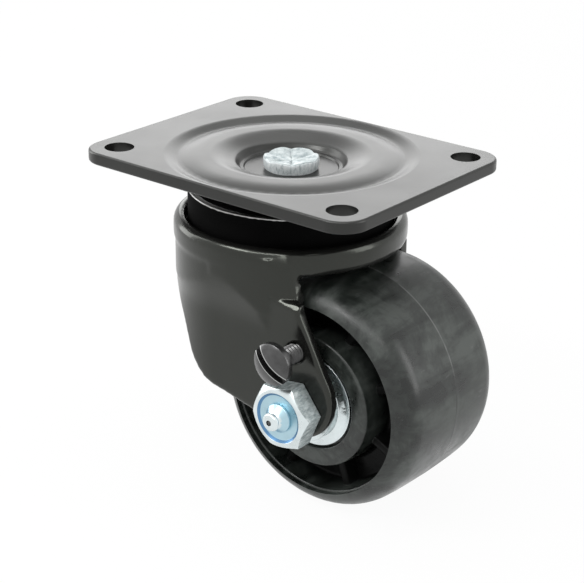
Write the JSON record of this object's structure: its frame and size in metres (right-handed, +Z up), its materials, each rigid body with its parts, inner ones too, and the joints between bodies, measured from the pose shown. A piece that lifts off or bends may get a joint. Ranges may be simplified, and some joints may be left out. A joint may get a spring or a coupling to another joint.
{
  "type": "swivel plate castor",
  "caption": "Swivel castor with a pressed mounting plate, ball-bearing head, drawn steel fork, broad moulded wheel on a roller bearing and a slotted screw that brakes the hub.",
  "frame": {"origin": "centre of the mounting plate's top face, on the swivel axis", "axes": "+Z up out of the plate's top face along the swivel axis, +X towards the trailing wheel, +Y along the axle towards the lock nut"},
  "size_m": [0.1205, 0.0953, 0.1066],
  "materials": {
    "black_paint": "satin-gloss black paint over pressed steel",
    "zinc": "bright zinc plating",
    "bearing_steel": "ground steel",
    "wheel_plastic": "moulded, dark grey, faintly mottled",
    "black_oxide": "oiled black oxide",
    "nylon": "natural moulded nylon"
  },
  "bodies": {
    "plate": {"top_plate": "black_paint", "king_pin": "zinc", "upper_race": "black_paint"},
    "swivel_ball_set": {"swivel_balls": "bearing_steel"},
    "pilot_ball_set": {"pilot_balls": "bearing_steel"},
    "fork": {"fork": "black_paint", "lower_race": "bearing_steel", "axle_sleeve": "bearing_steel", "thrust_washer_near": "zinc", "thrust_washer_far": "zinc", "axle_bolt": "zinc", "grease_nipple": "zinc", "nipple_ball": "bearing_steel", "lock_nut": "zinc", "lock_nut_insert": "nylon", "nut_washer": "zinc"},
    "wheel": {"wheel": "wheel_plastic"},
    "roller_set": {"bearing_rollers": "bearing_steel", "roller_cage": "nylon"},
    "brake_screw": {"brake_screw": "black_oxide"},
    "brake_pad": {"brake_pad": "nylon"}
  },
  "joints": [
    {"name": "swivel", "type": "hinge", "parent": "plate", "child": "fork", "pos_m": [0, 0, 0], "axis": [0, 0, 1], "continuous": true},
    {"name": "swivel_ball_roll", "type": "hinge", "parent": "plate", "child": "swivel_ball_set", "pos_m": [0, 0, 0], "axis": [0, 0, 1], "continuous": true},
    {"name": "pilot_ball_roll", "type": "hinge", "parent": "plate", "child": "pilot_ball_set", "pos_m": [0, 0, 0], "axis": [0, 0, 1], "continuous": true},
    {"name": "wheel_spin", "type": "hinge", "parent": "fork", "child": "wheel", "pos_m": [0.0285, 0, -0.0686], "axis": [0, 1, 0], "continuous": true},
    {"name": "roller_spin", "type": "hinge", "parent": "fork", "child": "roller_set", "pos_m": [0.0285, 0, -0.0686], "axis": [0, 1, 0], "continuous": true},
    {"name": "brake_feed", "type": "slide", "parent": "fork", "child": "brake_pad", "axis": [0, 1, 0], "range_m": [0, 0.00191]},
    {"name": "brake_turn", "type": "hinge", "parent": "brake_pad", "child": "brake_screw", "pos_m": [0.0287, 0, -0.0493], "axis": [0, 1, 0], "range_deg": [0, 540]}
  ],
  "couplings": [
    {"joint": "swivel_ball_roll", "follows": "swivel", "ratio": 0.5},
    {"joint": "pilot_ball_roll", "follows": "swivel", "ratio": 0.5},
    {"joint": "roller_spin", "follows": "wheel_spin", "ratio": 0.604},
    {"joint": "brake_feed", "follows": "brake_turn", "m_per_rad": 0.00020213}
  ]
}
